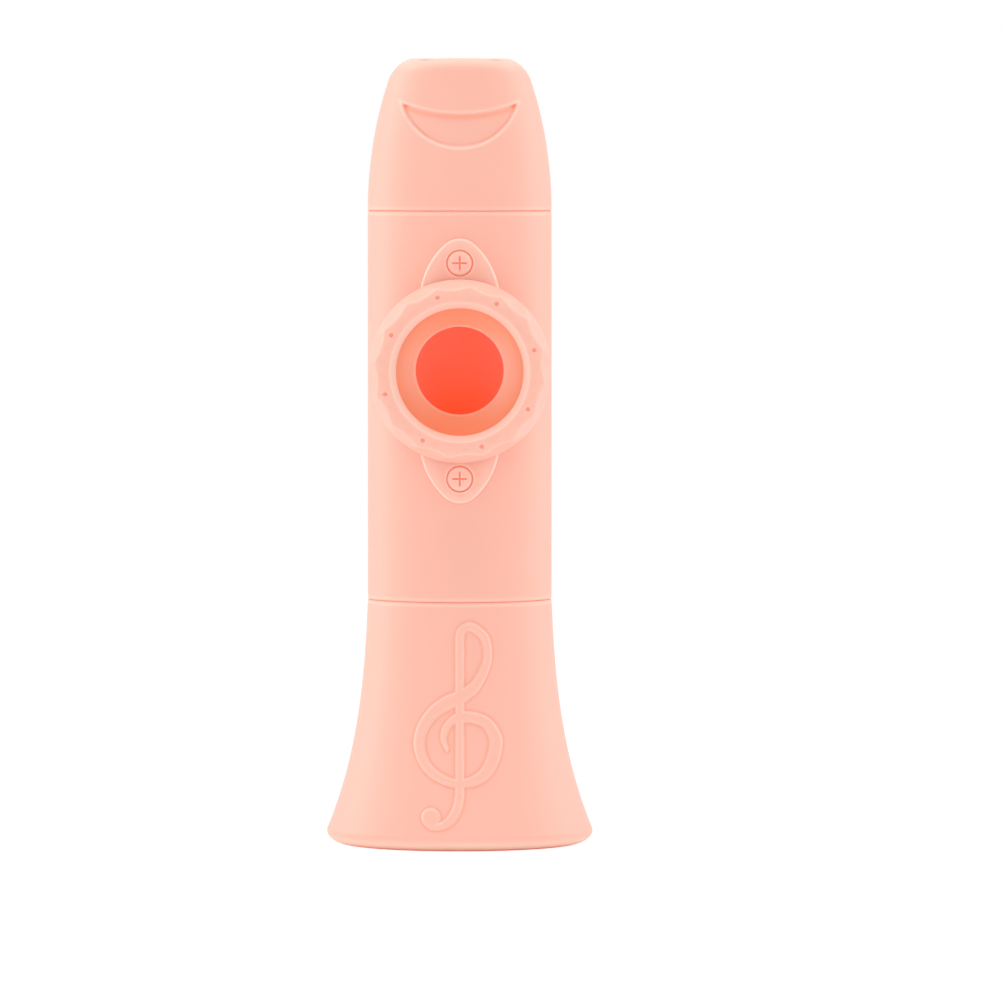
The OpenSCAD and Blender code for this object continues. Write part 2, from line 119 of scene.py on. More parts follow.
def tone(name, description, default):
    return bpy.props.FloatVectorProperty(
        name=name, description=description, default=default, min=0.0, max=1.0, size=3, subtype="COLOR")


def level(name, description, default, high=50.0, **kind):
    return bpy.props.FloatProperty(
        name=name, description=description, default=default, min=0.0, max=high, **kind)


class KazooSizes(bpy.types.PropertyGroup):
    """Small forms that the photograph shows and the CAD model leaves plain."""

    upper_edge: length("Upper edges", "Rounding of the edge below each seam", 0.28, 0.1, 0.6)
    lower_edge: length("Lower edges", "Rounding of the edge above each seam", 0.15, 0.05, 0.4)
    clef_rise: length("Clef rise", "How far the treble clef stands out of the bell", 0.32, 0.1, 0.45)
    clef_ramp: length("Clef ramp", "Width of the slope along the clef's strokes", 0.2, 0.1, 0.6)
    recess_depth: length("Recess depth", "Depth of the crescent on the mouthpiece", 0.5, 0.2, 1.0)
    cap_edge: length("Cap edge", "Rounding of the cap's front edge", 0.3, 0.1, 0.6)
    plate_edge: length("Plate edge", "Rounding of the plate's front edge", 0.45, 0.1, 0.5)


class KazooFinish(bpy.types.PropertyGroup):
    """Colours of the plastic and of the film, and of the painted light: bounce shade, highlights, groove
    shade and glow.
    """

    body: tone("Body plastic", "Colour of the moulded tube, bell and mouthpiece", (0.955, 0.487, 0.384))
    cap: tone("Cap plastic", "Colour of the turret's plate, screws, ring and cap", (0.955, 0.482, 0.378))
    # Painted bounce shade: deeper, redder colours on the walls of the well and the air way stand in for
    # light bouncing inside them
    well: tone("Well", "Colour of the plastic on the walls of the turret's well", (1.0, 0.5, 0.285))
    bore: tone("Bore", "Colour of the plastic on the walls of the air way", (0.87, 0.143, 0.004))
    # Painted highlight: colour mixed in along edges and lit rims, standing in for light that gets through
    # thin plastic and catches edges
    thin: tone("Painted highlight", "Colour of the plastic where light gets through it", (1.0, 0.78, 0.66))
    # Painted shade: colour mixed into grooves, creases and corners where shade falls
    deep: tone("Painted groove shade", "Colour of the plastic down in its grooves", (0.93, 0.19, 0.06))
    film: tone("Film", "Colour of the membrane", (0.95, 0.9, 0.88))
    # Painted glow: emission, not a lamp, standing in for light that comes through the plastic into the air
    # way and the grooves
    glow: level("Glow", "Light that comes through the walls into the air way", 0.26, 2.0)
    groove_glow: level("Groove glow", "Light that comes through the plastic into its grooves", 0.15, 2.0)
    # Amount of painted highlight along the edges
    pale: level("Painted edge highlights", "How much paler the plastic looks along its edges", 0.6, 1.0, subtype="FACTOR")


class KazooLights(bpy.types.PropertyGroup):
    """Levels of the studio lights and of the surroundings."""

    ambient: level("Ambient", "Level of the light from all round", 0.7, 3.0)
    left: level("Left", "Power of the panel on the left", 2.4, unit="POWER")
    right: level("Right", "Power of the panel on the right", 1.9, unit="POWER")
    top: level("Top", "Power of the panel above", 2.0, unit="POWER")
    front: level("Front", "Power of the soft light in front", 1.15, unit="POWER")


def add_object(name, data):
    obj = bpy.data.objects.new(name, data)
    bpy.context.scene.collection.objects.link(obj)
    return obj


def mesh_object(name, verts, faces):
    mesh = bpy.data.meshes.new(name)
    mesh.from_pydata(np.asarray(verts).tolist(), [], faces)
    return add_object(name, mesh)


def weld(obj, gap=1e-5):
    """Merges points that coincide and turns every face outward."""
    mesh = bmesh.new()
    mesh.from_mesh(obj.data)
    bmesh.ops.remove_doubles(mesh, verts=mesh.verts, dist=gap)
    bmesh.ops.dissolve_degenerate(mesh, edges=mesh.edges, dist=gap)
    bmesh.ops.recalc_face_normals(mesh, faces=mesh.faces)
    mesh.to_mesh(obj.data)
    mesh.free()


def grid_object(name, grid):
    """A closed skin of quads over rows and columns of points that both run round to their start."""
    rows, cols = grid.shape[:2]
    index = np.arange(rows * cols).reshape(rows, cols)
    below = np.roll(index, -1, axis=0)
    faces = np.stack([index, np.roll(index, -1, axis=1), np.roll(below, -1, axis=1), below], axis=-1)
    obj = mesh_object(name, grid.reshape(-1, 3), faces.reshape(-1, 4).tolist())
    weld(obj)
    return obj


def carve(obj, tool, operation="DIFFERENCE"):
    """Cuts the tool out of the object, or joins it on, and removes the tool."""
    change = obj.modifiers.new("Carve", "BOOLEAN")
    change.operation = operation
    change.solver = "EXACT"
    change.object = tool
    graph = bpy.context.evaluated_depsgraph_get()
    graph.update()
    result = bpy.data.meshes.new_from_object(obj.evaluated_get(graph))
    obj.modifiers.remove(change)
    if not len(result.polygons):
        raise RuntimeError("nothing is left of " + obj.name + " after " + operation)
    before = obj.data
    obj.data = result
    bpy.data.meshes.remove(before)
    bpy.data.meshes.remove(tool.data)


def rounded(outline, steps=6):
    """The closed outline with rounded corners. A corner's third number is its radius."""
    points = [np.array(corner[:2], float) for corner in outline]
    line = []
    for i, here in enumerate(points):
        if len(outline[i]) < 3:
            line.append(here)
            continue
        r = outline[i][2]
        back = points[i - 1] - here
        on = points[(i + 1) % len(points)] - here
        back /= np.linalg.norm(back)
        on /= np.linalg.norm(on)
        half = math.acos(max(-1.0, min(1.0, float(back @ on)))) / 2
        middle = here + (back + on) / np.linalg.norm(back + on) * r / math.sin(half)
        start = here + back * r / math.tan(half) - middle
        end = here + on * r / math.tan(half) - middle
        sweep = math.pi - 2 * half
        for k in range(steps + 1):
            t = k / steps
            line.append(middle + (start * math.sin((1 - t) * sweep) + end * math.sin(t * sweep))
                        / math.sin(sweep))
    return np.array(line)


def rod(radius, low, high):
    """Profile of a plain rod: its corners from the axis out and back."""
    return [(0, low), (radius, low), (radius, high), (0, high)]


def round_angles(count):
    return np.linspace(0, TURN, count, endpoint=False)


def around(profile, angles):
    """Rows of points for a profile of (radius, height) turned about Z. Angle 0 faces the front."""
    r = profile[:, :1]
    z = np.repeat(profile[:, 1:], len(angles), axis=1)
    return np.stack([r * np.sin(angles), -r * np.cos(angles), z], axis=-1)


def turret(points):
    """Points given as right, up and out along the turret's axis, brought into the shared frame."""
    points = np.asarray(points, float)
    return np.stack([points[..., 0], -points[..., 2], points[..., 1] + TURRET_Z], axis=-1)


def turned_object(name, profile, count=192, centre=(0.0, 0.0)):
    """A profile of (radius, out) turned about the turret's axis, or about a line beside it."""
    profile = np.asarray(profile, float)
    a = round_angles(count)
    r = profile[:, :1]
    out = np.repeat(profile[:, 1:], count, axis=1)
    points = np.stack([centre[0] + r * np.cos(a), centre[1] + r * np.sin(a), out], axis=-1)
    return grid_object(name, turret(points))


def carve_screw_holes(obj, profile, count):
    """Cuts a turned profile out of the object at both screws."""
    for side in (-1, 1):
        carve(obj, turned_object("HoleTool", profile, count, (0, side * SCREW_UP)))


def at_level(outline, out):
    """An outline of (right, up) set at a height along the turret's axis."""
    return np.column_stack([outline, np.full(len(outline), out)])


def stack_object(name, rows):
    """A skin of quads over closed rows of (right, up, out), with flat faces on the end rows."""
    points = turret(rows)
    steps, count = points.shape[:2]
    index = np.arange(steps * count).reshape(steps, count)
    beside = np.roll(index, -1, axis=1)
    faces = np.stack([index[:-1], beside[:-1], beside[1:], index[1:]], axis=-1).reshape(-1, 4).tolist()
    faces += [index[0, ::-1].tolist(), index[-1].tolist()]
    obj = mesh_object(name, points.reshape(-1, 3), faces)
    weld(obj)
    return obj


def thread(wall, crest, start, first=0.0, pitch=2.0, turns=1.2, root=1.1, tip=0.65):
    """A right-hand screw ridge on a round wall, which rises and sinks again at its two ends."""
    steps, run_in, sunk = 144, 40, 0.2
    rows = []
    for i in range(steps + 1):
        share = i / steps * turns * 360
        rise = min(1.0, share / run_in + 0.05, (turns * 360 - share) / run_in + 0.05)
        a = math.radians(first + share)
        high = start + pitch * share / 360
        inside = wall - sunk * math.copysign(1, crest - wall)
        top = wall + (crest - wall) * rise
        rows.append([(r * math.cos(a), r * math.sin(a), high + step) for r, step in (
            (inside, -root / 2), (top, -tip / 2), (top, tip / 2), (inside, root / 2))])
    return stack_object("ThreadTool", rows)


def hill(value, middle, width):
    """A smooth rise to 1 at the middle and back to 0."""
    return np.exp(-((value - middle) / width) ** 2)


def smooth_step(low, high, value):
    t = np.clip((value - low) / (high - low), 0, 1)
    return t * t * (3 - 2 * t)


def painted_seam_shading(z, seam):
    """Painted shade along a seam's groove, with a painted highlight along the edge above it and the edge
    below.
    """
    return (0.22 * hill(z, seam + 0.42, 0.14) + 0.35 * hill(z, seam - 0.46, 0.16)
            - 0.22 * hill(z, seam - 0.03, 0.26))


def finish_piece(obj, body, nodes, material, painted_shading=None, sharp=32.0, weighted=True):
    """Brings a piece to metres, smooths it, and sets its finish, its body and its CAD nodes.

    The painted shading gives each point a shade from 1, a painted highlight that makes the plastic
    pale, to -1, painted shade deep in a groove."""
    weld(obj)
    if painted_shading:
        points = np.array([v.co for v in obj.data.vertices])
        shade = obj.data.attributes.new("Shade", "FLOAT", "POINT")
        shade.data.foreach_set("value", np.clip(painted_shading(points), -1, 1).astype(np.float32))
    edges = {}
    for face in obj.data.polygons:
        for key in face.edge_keys:
            edges[key] = edges.get(key, 0) + 1
    if any(count != 2 for count in edges.values()):
        raise RuntimeError(obj.name + " isn't closed")
    obj.data.transform(Matrix.Scale(MM, 4))
    obj.data.materials.clear()
    obj.data.materials.append(material)
    obj.data.shade_smooth()
    obj.data.set_sharp_from_angle(angle=math.radians(sharp))
    if weighted:
        even = obj.modifiers.new("Even normals", "WEIGHTED_NORMAL")
        even.keep_sharp = True
    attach(obj, body)
    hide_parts(*nodes)


class Nodes:
    """Adds nodes to an empty tree, eight to a row, and links or sets what feeds them."""

    def __init__(self, tree):
        self.tree = tree
        tree.nodes.clear()

    def add(self, kind, feeds=None, **settings):
        made = self.tree.nodes.new(kind)
        row, column = divmod(len(self.tree.nodes) - 1, 8)
        made.location = (220 * column, -320 * row)
        for key, value in settings.items():
            setattr(made, key, value)
        for key, value in (feeds or {}).items():
            if isinstance(value, bpy.types.NodeSocket):
                self.tree.links.new(value, made.inputs[key])
            else:
                made.inputs[key].default_value = value
        return made

    def math(self, operation, *values, **settings):
        made = self.add("ShaderNodeMath", dict(enumerate(values)), operation=operation, **settings)
        return made.outputs["Value"]

    def mix(self, factor, a, b):
        feeds = {"Factor": factor, "A": a, "B": b}
        return self.add("ShaderNodeMix", feeds, data_type="RGBA").outputs["Result"]

    def scaled(self, colour, amount):
        feeds = {0: colour, "Scale": amount}
        return self.add("ShaderNodeVectorMath", feeds, operation="SCALE").outputs["Vector"]

    def noise(self, where, scale, detail):
        feeds = {"Vector": where, "Scale": scale, "Detail": detail}
        return self.add("ShaderNodeTexNoise", feeds).outputs["Fac"]

    def ramp(self, value, to_low, to_high, low=0.0, high=1.0):
        feeds = {"Value": value, "From Min": low, "From Max": high, "To Min": to_low, "To Max": to_high}
        return self.add("ShaderNodeMapRange", feeds).outputs["Result"]

    def surface(self, feeds):
        """A principled shader on its way to the material's output."""
        shader = self.add("ShaderNodeBsdfPrincipled", feeds).outputs["BSDF"]
        self.add("ShaderNodeOutputMaterial", {"Surface": shader})

    def either(self, factor, first, second, output):
        """Two shaders mixed into the tree's output node."""
        mixed = self.add("ShaderNodeMixShader", {0: factor, 1: first, 2: second}).outputs["Shader"]
        self.add(output, {"Surface": mixed})


def plastic_and_light_group():
    """Node group for moulded plastic with painted light: faint mottling, painted bounce shade on the walls
    inside, painted edge highlights, a fine skin.
    """
    name = "Moulded plastic with painted light"
    if name in bpy.data.node_groups:
        return bpy.data.node_groups[name]
    tree = bpy.data.node_groups.new(name, "ShaderNodeTree")
    # The well, bore, thin and deep colours are painted light and shade: bounce shade, highlight and groove
    # shade
    for way, kind, labels in (
            ("INPUT", "Color", ("Colour", "Well colour", "Bore colour", "Thin colour", "Deep colour")),
            ("INPUT", "Float", ("Glow", "Groove glow", "Painted edge highlights", "Turret height", "Seam height")),
            ("OUTPUT", "Color", ("Colour", "Glow")), ("OUTPUT", "Float", ("Roughness", "Height"))):
        for label in labels:
            tree.interface.new_socket(label, in_out=way, socket_type="NodeSocket" + kind)
    made = Nodes(tree)
    given = made.add("NodeGroupInput").outputs
    where = made.add("ShaderNodeTexCoord").outputs["Object"]
    x, y, z = made.add("ShaderNodeSeparateXYZ", {"Vector": where}).outputs

    def within(first, second, radius):
        """1 where two coordinates are nearer to their axis than the radius."""
        flat = made.add("ShaderNodeCombineXYZ", {"X": first, "Y": second}).outputs["Vector"]
        reach = made.add("ShaderNodeVectorMath", {0: flat}, operation="LENGTH").outputs["Value"]
        return made.math("LESS_THAN", reach, radius * MM)

    # Painted bounce shade: the walls of the air way, told by their distance from the tube's axis, and the
    # walls of the well, told by their distance from the turret's axis, get deeper colours that stand in for
    # light bouncing inside them
    margin = 0.02
    bore = made.math("MULTIPLY", within(x, y, BORE_R + margin),
                     made.math("LESS_THAN", z, given["Seam height"]))
    up = made.math("SUBTRACT", z, given["Turret height"])
    well = made.math("MULTIPLY", within(x, up, WELL_R + margin),
                     made.math("COMPARE", y, -13 * MM, 4.5 * MM))
    walls = made.mix(bore, made.mix(well, given["Colour"], given["Well colour"]), given["Bore colour"])
    mottled = made.scaled(walls, made.ramp(made.noise(where, 55.0, 3.0), 0.992, 1.008, 0.3, 0.7))
    # Painted highlight: edges are painted paler, standing in for light that gets through the plastic where
    # it is thin
    near = made.add("ShaderNodeAmbientOcclusion", {"Distance": 0.5 * MM}, inside=True,
                    only_local=True, samples=6).outputs["AO"]
    outside = made.math("MULTIPLY", made.math("LESS_THAN", well, 0.5), given["Painted edge highlights"])
    edge = made.math("MULTIPLY", made.ramp(near, 0.0, 1.0, 1.0, 0.4), outside)
    # The Shade attribute paints highlights where it is above 0, and shade in the deep colour where it is
    # below 0
    painted_light_and_shade = made.add("ShaderNodeAttribute", attribute_name="Shade").outputs["Fac"]
    pale = made.mix(made.math("MAXIMUM", painted_light_and_shade, edge), mottled, given["Thin colour"])
    painted_shade_amount = made.math("MULTIPLY", painted_light_and_shade, -1.0, use_clamp=True)
    colour = made.mix(painted_shade_amount, pale, given["Deep colour"])
    # Painted glow: emission, not a lamp, standing in for light that comes through the walls inside and in
    # the grooves, and most up through the rim, from the pale floor
    through = made.scaled(given["Bore colour"], made.math("MULTIPLY", bore, given["Glow"]))
    foot = made.math("MULTIPLY_ADD", made.math("LESS_THAN", z, 0.4 * MM), 2.0, 1.0)
    share = made.math("MULTIPLY", made.math("MULTIPLY", painted_shade_amount, given["Groove glow"]), foot)
    painted_groove_glow = made.scaled(given["Deep colour"], share)
    glow = made.add("ShaderNodeVectorMath", {0: through, 1: painted_groove_glow}, operation="ADD").outputs["Vector"]
    # The well's walls shine less than the outside
    dull = made.ramp(made.noise(where, 140.0, 4.0), 0.36, 0.46)
    made.add("NodeGroupOutput", {
        "Colour": colour, "Glow": glow, "Roughness": made.math("MULTIPLY_ADD", well, 0.3, dull),
        "Height": made.noise(where, 900.0, 2.0)})
    return tree


def fresh_material(name):
    material = bpy.data.materials.new(name)
    material.use_nodes = True
    return material, Nodes(material.node_tree)


def plastic(part):
    """The satin plastic of the body or of the cap, with bounce shade painted deeper on the walls of the well
    and the air way.
    """
    name = part.capitalize() + " plastic"
    if name in bpy.data.materials:
        return bpy.data.materials[name]
    material, made = fresh_material(name)
    finish = bpy.context.scene.kazoo_finish
    feeds = {"Colour": (*getattr(finish, part), 1.0), "Glow": finish.glow,
             "Groove glow": finish.groove_glow, "Painted edge highlights": finish.pale,
             "Turret height": TURRET_Z * MM, "Seam height": TUBE.high * MM}
    for key in ("well", "bore", "thin", "deep"):
        feeds[key.capitalize() + " colour"] = (*getattr(finish, key), 1.0)
    look = made.add("ShaderNodeGroup", feeds, node_tree=plastic_and_light_group()).outputs
    bump = made.add("ShaderNodeBump", {"Strength": 0.04, "Distance": 0.0001, "Height": look["Height"]})
    made.surface({
        "Base Color": look["Colour"], "Roughness": look["Roughness"], "IOR": 1.46,
        "Specular IOR Level": 0.4, "Emission Color": look["Glow"], "Emission Strength": 1.0,
        "Normal": bump.outputs["Normal"]})
    return material


def film_material():
    """A thin clear film, which hazes a little towards the mouthpiece and to its sides."""
    material, made = fresh_material("Clear film")
    where = made.add("ShaderNodeTexCoord").outputs["Object"]
    x, _, z = made.add("ShaderNodeSeparateXYZ", {"Vector": where}).outputs
    haze = made.ramp(made.noise(where, 260.0, 2.0), 0.0, 0.012)
    climb = made.ramp(z, 0.004, 0.034, (TURRET_Z - 6) * MM, (TURRET_Z + 6) * MM)
    aside = made.ramp(made.math("MULTIPLY", x, x), 0.0, 0.02, 0.0, (5.5 * MM) ** 2)
    made.surface({
        "Base Color": (*bpy.context.scene.kazoo_finish.film, 1.0), "Roughness": 0.4,
        "Specular IOR Level": 0.05,
        "Alpha": made.math("ADD", haze, made.math("ADD", climb, aside))})
    return material


def curve(points, steps=6):
    """Points along a smooth curve through the given ones."""
    points = np.array(points, float)
    line = []
    for i in range(len(points) - 1):
        a = points[max(i - 1, 0)]
        b, c = points[i], points[i + 1]
        d = points[min(i + 2, len(points) - 1)]
        for k in range(steps):
            t = k / steps
            line.append(0.5 * (2 * b + (c - a) * t + (2 * a - 5 * b + 4 * c - d) * t ** 2
                               + (3 * b - a - 3 * c + d) * t ** 3))
    line.append(points[-1])
    return np.array(line)


def clef_distance(x, z):
    """Distance from each point to the clef's outline, negative inside it, in millimetres."""
    u = x / CLEF_H
    v = (z - CLEF_FOOT) / CLEF_H
    best = np.hypot(u - BALL[0], v - BALL[1]) - BALL[2]
    for stroke in (SPIRAL, STEM):
        line = curve(stroke)
        for a, b in zip(line[:-1], line[1:]):
            run = b[:2] - a[:2]
            t = np.clip(((u - a[0]) * run[0] + (v - a[1]) * run[1]) / (run @ run), 0, 1)
            width = a[2] + (b[2] - a[2]) * t
            best = np.minimum(best, np.hypot(u - a[0] - t * run[0], v - a[1] - t * run[1]) - width / 2)
    return best * CLEF_H


class KAZOO_OT_tube(bpy.types.Operator):
    """Build the tube with its sound hole and screw holes"""

    bl_idname = "kazoo.tube"
    bl_label = "Body tube"

    def execute(self, context):
        sizes = context.scene.kazoo_sizes
        low, high, r = TUBE.low, TUBE.high, TUBE.radius
        step = SPIGOT_L + FIT
        inner_r, mouth_r = 0.1, 0.15
        # Rows of points near the seams carry the seams' painted shade and highlights
        ends = [(r, z) for z in np.concatenate([low + np.arange(0.3, 1.2, 0.1),
                                                high - np.arange(0.5, 1.3, 0.1)[::-1]])]
        outline = rounded([
            (BORE_R, low + step, inner_r), (SOCKET_R, low + step, inner_r), (SOCKET_R, low, mouth_r),
            (r, low, sizes.lower_edge / MM), *ends, (r, high, sizes.upper_edge / MM),
            (SOCKET_R, high, mouth_r), (SOCKET_R, high - step, inner_r), (BORE_R, high - step, inner_r)])
        tube = grid_object("BodyTube", around(outline, round_angles(256)))
        beyond = r + 1
        carve(tube, turned_object("HoleTool", rod(SLEEVE_HOLE_R, 0, beyond), 96))
        carve_screw_holes(tube, rod(SHANK_HOLE_R, 8, beyond), 32)

        # Painted shade and highlights along both seams, on the outside only
        def painted_shading(p):
            outer = np.hypot(p[:, 0], p[:, 1]) > SOCKET_R + 0.2
            return outer * (painted_seam_shading(p[:, 2], low) + painted_seam_shading(p[:, 2], high))

        finish_piece(tube, "body", ["body_tube"], plastic("body"), painted_shading)
        return {"FINISHED"}


class KAZOO_OT_bell(bpy.types.Operator):
    """Build the flared bell with the treble clef on its front"""

    bl_idname = "kazoo.bell"
    bl_label = "Bell"

    def execute(self, context):
        sizes = context.scene.kazoo_sizes
        seam, tube_r = TUBE.low, TUBE.radius
        # The rim is rounded more across than up, and the flare opens faster and faster towards it
        rim_w, rim_h = 2.7, 1.8
        rim_r = BELL.radius - rim_w
        turn = math.radians(12.7)
        touch = np.array([rim_r + rim_w * math.cos(turn), rim_h * (1 + math.sin(turn))])
        slope, bend = 1.26, 1.32
        rush = touch[0] - tube_r - slope - bend
        throat_step = 4.7
        throat_r = (throat_step ** 2 + seam ** 2) / (2 * throat_step)
        row = 0.1
        edge = sizes.upper_edge / MM
        line = [(BORE_R, seam + SPIGOT_L), (SPIGOT_R, seam + SPIGOT_L),
                (SPIGOT_R, seam), (tube_r - edge - 0.02, seam)]
        for k in range(1, 8):
            a = math.radians(90 * k / 8)
            line.append((tube_r - edge + edge * math.sin(a), seam - edge + edge * math.cos(a)))
        start = len(line)
        for z in np.linspace(seam - edge, touch[1], int((seam - edge - touch[1]) / row)):
            t = (seam - z) / (seam - touch[1])
            line.append((tube_r + slope * t + bend * t ** 2 + rush * t ** 3, z))
        for k in range(1, 29):
            a = turn + (-math.pi / 2 - turn) * k / 28
            across = math.cos(a) if a > 0 else max(0.0, math.cos(a)) ** 1.2
            line.append((rim_r + rim_w * across, rim_h * (1 + math.sin(a))))
        shell = slice(start, len(line))
        inner = BORE_R + throat_step
        line += [(inner + 0.35, 0), (inner + 0.2, 0.04), (inner + 0.06, 0.16), (inner - 0.06, 0.4)]
        for z in np.linspace(1.2, seam, 34):
            drop = throat_r - math.sqrt(throat_r ** 2 - (seam - z) ** 2)
            line.append((BORE_R + drop, z))
        line = np.array(line)
        # Columns are close together on the front, where the clef is
        front = np.radians(np.arange(-31.5, 31.6, 0.41))
        rest = np.linspace(front[-1], TURN + front[0], 91)[1:-1]
        angles = np.concatenate([front, rest])
        points = around(line, angles)
        # The clef's strokes stand out along the surface's own normal, in a shallow dip
        ahead = np.roll(line, -1, axis=0) - np.roll(line, 1, axis=0)
        normal = np.stack([-ahead[:, 1], ahead[:, 0]], axis=1)
        normal /= np.linalg.norm(normal, axis=1)[:, None]
        patch = points[shell, :len(front)]
        away = clef_distance(patch[..., 0], patch[..., 2])
        ramp = sizes.clef_ramp / MM
        lift = sizes.clef_rise / MM * (1 - smooth_step(-ramp, 0.05, away))
        lift -= 0.05 * hill(away, 0.22, 0.14)
        patch += around(normal[shell], angles[:len(front)]) * lift[..., None]
        points[..., 2] = np.maximum(points[..., 2], 0)
        bell = grid_object("Bell", points)

        # Painted light: the rim's underside is painted paler, standing in for light from the floor, with
        # painted shade where it meets the floor; the clef gets painted highlights along its edges and a
        # painted shadow round it
        def painted_shading(p):
            z = p[:, 2]
            outer = (np.hypot(p[:, 0], p[:, 1]) > SKIN_R) * (z < seam)
            rim = 0.75 * smooth_step(2.0, 0.4, z) - 1.35 * hill(z, 0, 0.15)
            near = clef_distance(p[:, 0], z)
            clef = 0.46 * hill(near, -0.11, 0.11) + 0.02 * (near < -0.2) - 0.3 * hill(near, 0.14, 0.12)
            return outer * (painted_seam_shading(z, seam) + rim + clef * (p[:, 1] < -6))

        finish_piece(bell, "body", ["bell"], plastic("body"), painted_shading, 50, False)
        return {"FINISHED"}


class KAZOO_OT_mouthpiece(bpy.types.Operator):
    """Build the beaked mouthpiece with its slot, its chamber and the crescent on its front"""

    bl_idname = "kazoo.mouthpiece"
    bl_label = "Mouthpiece"

    def execute(self, context):
        sizes = context.scene.kazoo_sizes
        seam, top, tube_r = TUBE.high, TOP, TUBE.radius
        taper = 57.3
        # Half the slot's thickness, half its straight part, and its place
        slot_half, slot_run, slot_y = 2.2, 3.3, -8.35
        # The chamber under the slot: half its width and thickness, its depth and its place
        chamber_w, chamber_t, chamber_drop, chamber_y = 8.2, 5.6, 11, slot_y + 3.4
        fan_z = top - 3.5
        beak_r = 40.0
        low = np.array([tube_r, seam + 3.8])
        high = np.array([8.6 - tube_r, top])
        run = high - low
        out = np.array([run[1], -run[0]]) / np.linalg.norm(run)
        beak = (low + high) / 2 + out * math.sqrt(beak_r ** 2 - (np.linalg.norm(run) / 2) ** 2)
        depth = sizes.recess_depth / MM
        brow_depth = 0.12
        # The crescent's lower and upper arcs: how far below or above the top they turn, and their radii
        low_drop, low_r, high_rise, high_r = 3.95, 8.15, 14.0, 21.6

        def crescent(x, z):
            """Distances from the crescent's lower and upper outlines, both negative inside it."""
            return np.hypot(x, z - top + low_drop) - low_r, high_r - np.hypot(x, z - top - high_rise)

        def half(z):
            return tube_r - taper + np.sqrt(taper ** 2 - (np.clip(z, seam, top) - seam) ** 2)

        def join(a, b, r):
            return np.minimum(-r, np.maximum(a, b)) + np.hypot(np.maximum(a + r, 0), np.maximum(b + r, 0))

        def skin(x, y, z):
            """Distance outside the mouthpiece's surface."""
            w = half(z)
            side = np.clip(np.abs(x) / w, 0, 1)
            # The crescent's floor is the front's own surface, set back along the turret's axis
            inside = np.maximum(*crescent(x, z))
            sink = brow_depth * (1 - smooth_step(0.0, 0.34, inside))
            sink = sink + (depth - brow_depth) * (1 - smooth_step(-0.22, 0.0, inside))
            y = y - sink * (y < slot_y + 2)
            wall = np.hypot(x, y + tube_r - w) - w
            solid = join(wall, z - top, 1.4 + 1.45 * side ** 2)
            return join(solid, beak_r - np.hypot(y - beak[0], z - beak[1]), 1.2)

        def reach(y, z, aim):
            """Where each ray from the middle meets the skin."""
            origin = np.zeros_like(aim)
            origin[..., 1] = y
            origin[..., 2] = z
            near = np.zeros(aim.shape[:-1])
            far = np.full(aim.shape[:-1], 32.0)
            for _ in range(40):
                middle = (near + far) / 2
                p = origin + aim * middle[..., None]
                outside = skin(p[..., 0], p[..., 1], p[..., 2]) > 0
                far = np.where(outside, middle, far)
                near = np.where(outside, near, middle)
            return origin + aim * near[..., None]

        front = np.arange(-81, 81.1, 0.75)
        angles = np.radians(np.concatenate([front, np.linspace(81, 279, 100)[1:-1]]))
        flat = np.stack([np.sin(angles), -np.cos(angles)], axis=1)
        edge = sizes.lower_edge / MM
        # Rows are close together where the seam's painted shade and the crescent are
        levels = np.concatenate([
            seam + edge + np.arange(0, 0.85, 0.12), np.linspace(seam + 1.4, top - 13.4, 10),
            np.arange(top - 13.3, top - 4.85, 0.1),
            np.linspace(top - 4.8, fan_z, 6)])
        share = np.clip((levels - seam) / (fan_z - seam), 0, 1)
        aim = np.zeros((len(levels), len(angles), 3))
        aim[..., :2] = flat
        rows = [reach((slot_y * share ** 1.2)[:, None], levels[:, None], aim)]
        # Above that, rays spread like a fan up to the slot's outline on the top
        across, along = np.abs(flat[:, 0]), np.abs(flat[:, 1])
        slot = slot_half / np.maximum(along, 1e-6)
        ends = slot_run * across + np.sqrt(np.maximum(slot_half ** 2 - (slot_run * along) ** 2, 0))
        slot = np.where(slot * across <= slot_run, slot, ends)
        brim = 0.4
        tilt = np.arctan2(top - fan_z, slot + brim) * np.linspace(0, 1, 34)[1:, None]
        aim = np.stack([np.cos(tilt) * flat[:, 0], np.cos(tilt) * flat[:, 1], np.sin(tilt)], axis=-1)
        rows.append(reach(slot_y, fan_z, aim))
        lip = rows[-1][-1, :, 2]

        def ring(r, centre, z):
            z = np.broadcast_to(z, (len(angles),))
            rows.append(np.stack([r * flat[:, 0], centre + r * flat[:, 1], z], axis=-1)[None])

        for k in range(1, 6):
            a = math.radians(90 * k / 5)
            ring(slot + brim * (1 - math.sin(a)), slot_y, lip - brim * (1 - math.cos(a)))
        chamber = 1 / np.hypot(across / chamber_w, along / chamber_t)
        floor = top - chamber_drop
        for t in np.linspace(0, 1, 9)[1:]:
            z = top - brim - (chamber_drop - brim) * t
            ring(slot * (1 - t) + chamber * t, slot_y + (chamber_y - slot_y) * t, z)
        for t in np.linspace(0, 1, 6)[1:]:
            ring(chamber * (1 - t) + (BORE_R - 0.25) * t, chamber_y * (1 - t),
                 floor - (floor - seam - 0.25) * t)
        spigot_z, small = seam - SPIGOT_L, 0.1
        for r, z in ((BORE_R, seam + 0.2), (BORE_R, spigot_z + small), (BORE_R + small, spigot_z),
                     (SPIGOT_R - small, spigot_z), (SPIGOT_R, spigot_z + small), (SPIGOT_R, seam)):
            ring(r, 0.0, z)
        for k in range(6):
            a = math.radians(90 * k / 6)
            ring(tube_r - edge + edge * math.sin(a), 0.0, seam + edge - edge * math.cos(a))
        piece = grid_object("Mouthpiece", np.concatenate(rows))

